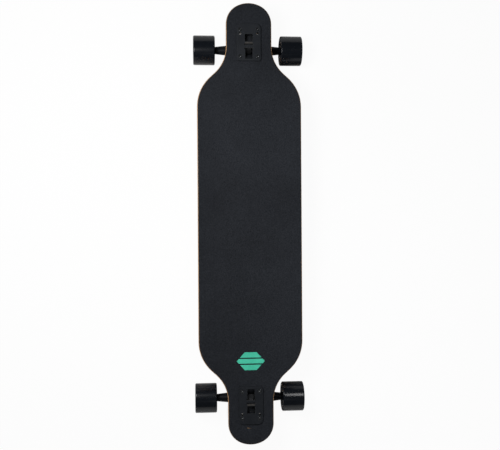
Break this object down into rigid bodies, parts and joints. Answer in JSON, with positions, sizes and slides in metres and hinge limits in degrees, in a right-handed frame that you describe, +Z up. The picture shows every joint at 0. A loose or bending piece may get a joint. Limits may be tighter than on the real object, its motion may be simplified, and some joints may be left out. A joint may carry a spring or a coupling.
{
  "type": "longboard skateboard",
  "caption": "Drop-through longboard: tub-section maple deck with narrow necks, black grip tape, reverse-kingpin trucks sprung on bushings, and wide urethane wheels on ball bearings.",
  "frame": {"origin": "on the ground under the middle of the deck", "axes": "+X to the right, +Y towards the nose, +Z up out of the deck"},
  "size_m": [0.262, 1.04, 0.0976],
  "materials": {
    "maple": "clear satin lacquer",
    "grip": "coarse black abrasive",
    "badge_green": "satin print",
    "black_casting": "satin black paint",
    "black_bolt": "dark zinc",
    "steel": "zinc plated",
    "bearing_steel": "ground steel",
    "urethane": "smooth black urethane",
    "core_plastic": "moulded black",
    "cage_plastic": "natural nylon",
    "shield_rubber": "moulded rubber",
    "bushing": "cast urethane",
    "cup_plastic": "moulded"
  },
  "bodies": {
    "board": {"deck": "maple", "grip_tape": "grip", "grip_badge": "badge_green", "mounting_bolts": "black_bolt", "mounting_nuts": "steel", "front_baseplate": "black_casting", "front_pivot_cup": "cup_plastic", "front_kingpin": "black_bolt", "front_kingpin_nut": "steel", "front_kingpin_washers": "steel", "front_boardside_bushing": "bushing", "front_roadside_bushing": "bushing", "rear_baseplate": "black_casting", "rear_pivot_cup": "cup_plastic", "rear_kingpin": "black_bolt", "rear_kingpin_nut": "steel", "rear_kingpin_washers": "steel", "rear_boardside_bushing": "bushing", "rear_roadside_bushing": "bushing"},
    "front_truck": {"front_hanger": "black_casting", "front_axle": "steel", "front_axle_nuts": "steel", "front_speed_rings": "steel", "front_left_bearing_inner_rings": "bearing_steel", "front_left_bearing_spacer": "steel", "front_right_bearing_inner_rings": "bearing_steel", "front_right_bearing_spacer": "steel"},
    "rear_truck": {"rear_hanger": "black_casting", "rear_axle": "steel", "rear_axle_nuts": "steel", "rear_speed_rings": "steel", "rear_left_bearing_inner_rings": "bearing_steel", "rear_left_bearing_spacer": "steel", "rear_right_bearing_inner_rings": "bearing_steel", "rear_right_bearing_spacer": "steel"},
    "front_left_wheel": {"front_left_tyre": "urethane", "front_left_core": "core_plastic", "front_left_bearing_outer_rings": "bearing_steel", "front_left_bearing_shields": "shield_rubber"},
    "front_left_ball_set": {"front_left_bearing_balls": "bearing_steel", "front_left_bearing_cages": "cage_plastic"},
    "front_right_wheel": {"front_right_tyre": "urethane", "front_right_core": "core_plastic", "front_right_bearing_outer_rings": "bearing_steel", "front_right_bearing_shields": "shield_rubber"},
    "front_right_ball_set": {"front_right_bearing_balls": "bearing_steel", "front_right_bearing_cages": "cage_plastic"},
    "rear_left_wheel": {"rear_left_tyre": "urethane", "rear_left_core": "core_plastic", "rear_left_bearing_outer_rings": "bearing_steel", "rear_left_bearing_shields": "shield_rubber"},
    "rear_left_ball_set": {"rear_left_bearing_balls": "bearing_steel", "rear_left_bearing_cages": "cage_plastic"},
    "rear_right_wheel": {"rear_right_tyre": "urethane", "rear_right_core": "core_plastic", "rear_right_bearing_outer_rings": "bearing_steel", "rear_right_bearing_shields": "shield_rubber"},
    "rear_right_ball_set": {"rear_right_bearing_balls": "bearing_steel", "rear_right_bearing_cages": "cage_plastic"}
  },
  "joints": [
    {"name": "front_steer", "type": "hinge", "parent": "board", "child": "front_truck", "pos_m": [0, 0.4205, 0.035], "axis": [0, 0.766, 0.6428], "range_deg": [-15, 15], "stiffness_Nm_per_rad": 70, "deforming": ["front_boardside_bushing", "front_roadside_bushing"]},
    {"name": "rear_steer", "type": "hinge", "parent": "board", "child": "rear_truck", "pos_m": [0, -0.4205, 0.035], "axis": [0, -0.766, 0.6428], "range_deg": [-15, 15], "stiffness_Nm_per_rad": 70, "deforming": ["rear_boardside_bushing", "rear_roadside_bushing"]},
    {"name": "front_left_spin", "type": "hinge", "parent": "front_truck", "child": "front_left_wheel", "pos_m": [-0.105, 0.4205, 0.035], "axis": [1, 0, 0], "continuous": true},
    {"name": "front_left_ball_roll", "type": "hinge", "parent": "front_truck", "child": "front_left_ball_set", "pos_m": [-0.105, 0.4205, 0.035], "axis": [1, 0, 0], "continuous": true},
    {"name": "front_right_spin", "type": "hinge", "parent": "front_truck", "child": "front_right_wheel", "pos_m": [0.105, 0.4205, 0.035], "axis": [1, 0, 0], "continuous": true},
    {"name": "front_right_ball_roll", "type": "hinge", "parent": "front_truck", "child": "front_right_ball_set", "pos_m": [0.105, 0.4205, 0.035], "axis": [1, 0, 0], "continuous": true},
    {"name": "rear_left_spin", "type": "hinge", "parent": "rear_truck", "child": "rear_left_wheel", "pos_m": [-0.105, -0.4205, 0.035], "axis": [1, 0, 0], "continuous": true},
    {"name": "rear_left_ball_roll", "type": "hinge", "parent": "rear_truck", "child": "rear_left_ball_set", "pos_m": [-0.105, -0.4205, 0.035], "axis": [1, 0, 0], "continuous": true},
    {"name": "rear_right_spin", "type": "hinge", "parent": "rear_truck", "child": "rear_right_wheel", "pos_m": [0.105, -0.4205, 0.035], "axis": [1, 0, 0], "continuous": true},
    {"name": "rear_right_ball_roll", "type": "hinge", "parent": "rear_truck", "child": "rear_right_ball_set", "pos_m": [0.105, -0.4205, 0.035], "axis": [1, 0, 0], "continuous": true}
  ],
  "couplings": [
    {"joint": "front_left_ball_roll", "follows": "front_left_spin", "ratio": 0.6323},
    {"joint": "front_right_ball_roll", "follows": "front_right_spin", "ratio": 0.6323},
    {"joint": "rear_left_ball_roll", "follows": "rear_left_spin", "ratio": 0.6323},
    {"joint": "rear_right_ball_roll", "follows": "rear_right_spin", "ratio": 0.6323}
  ]
}
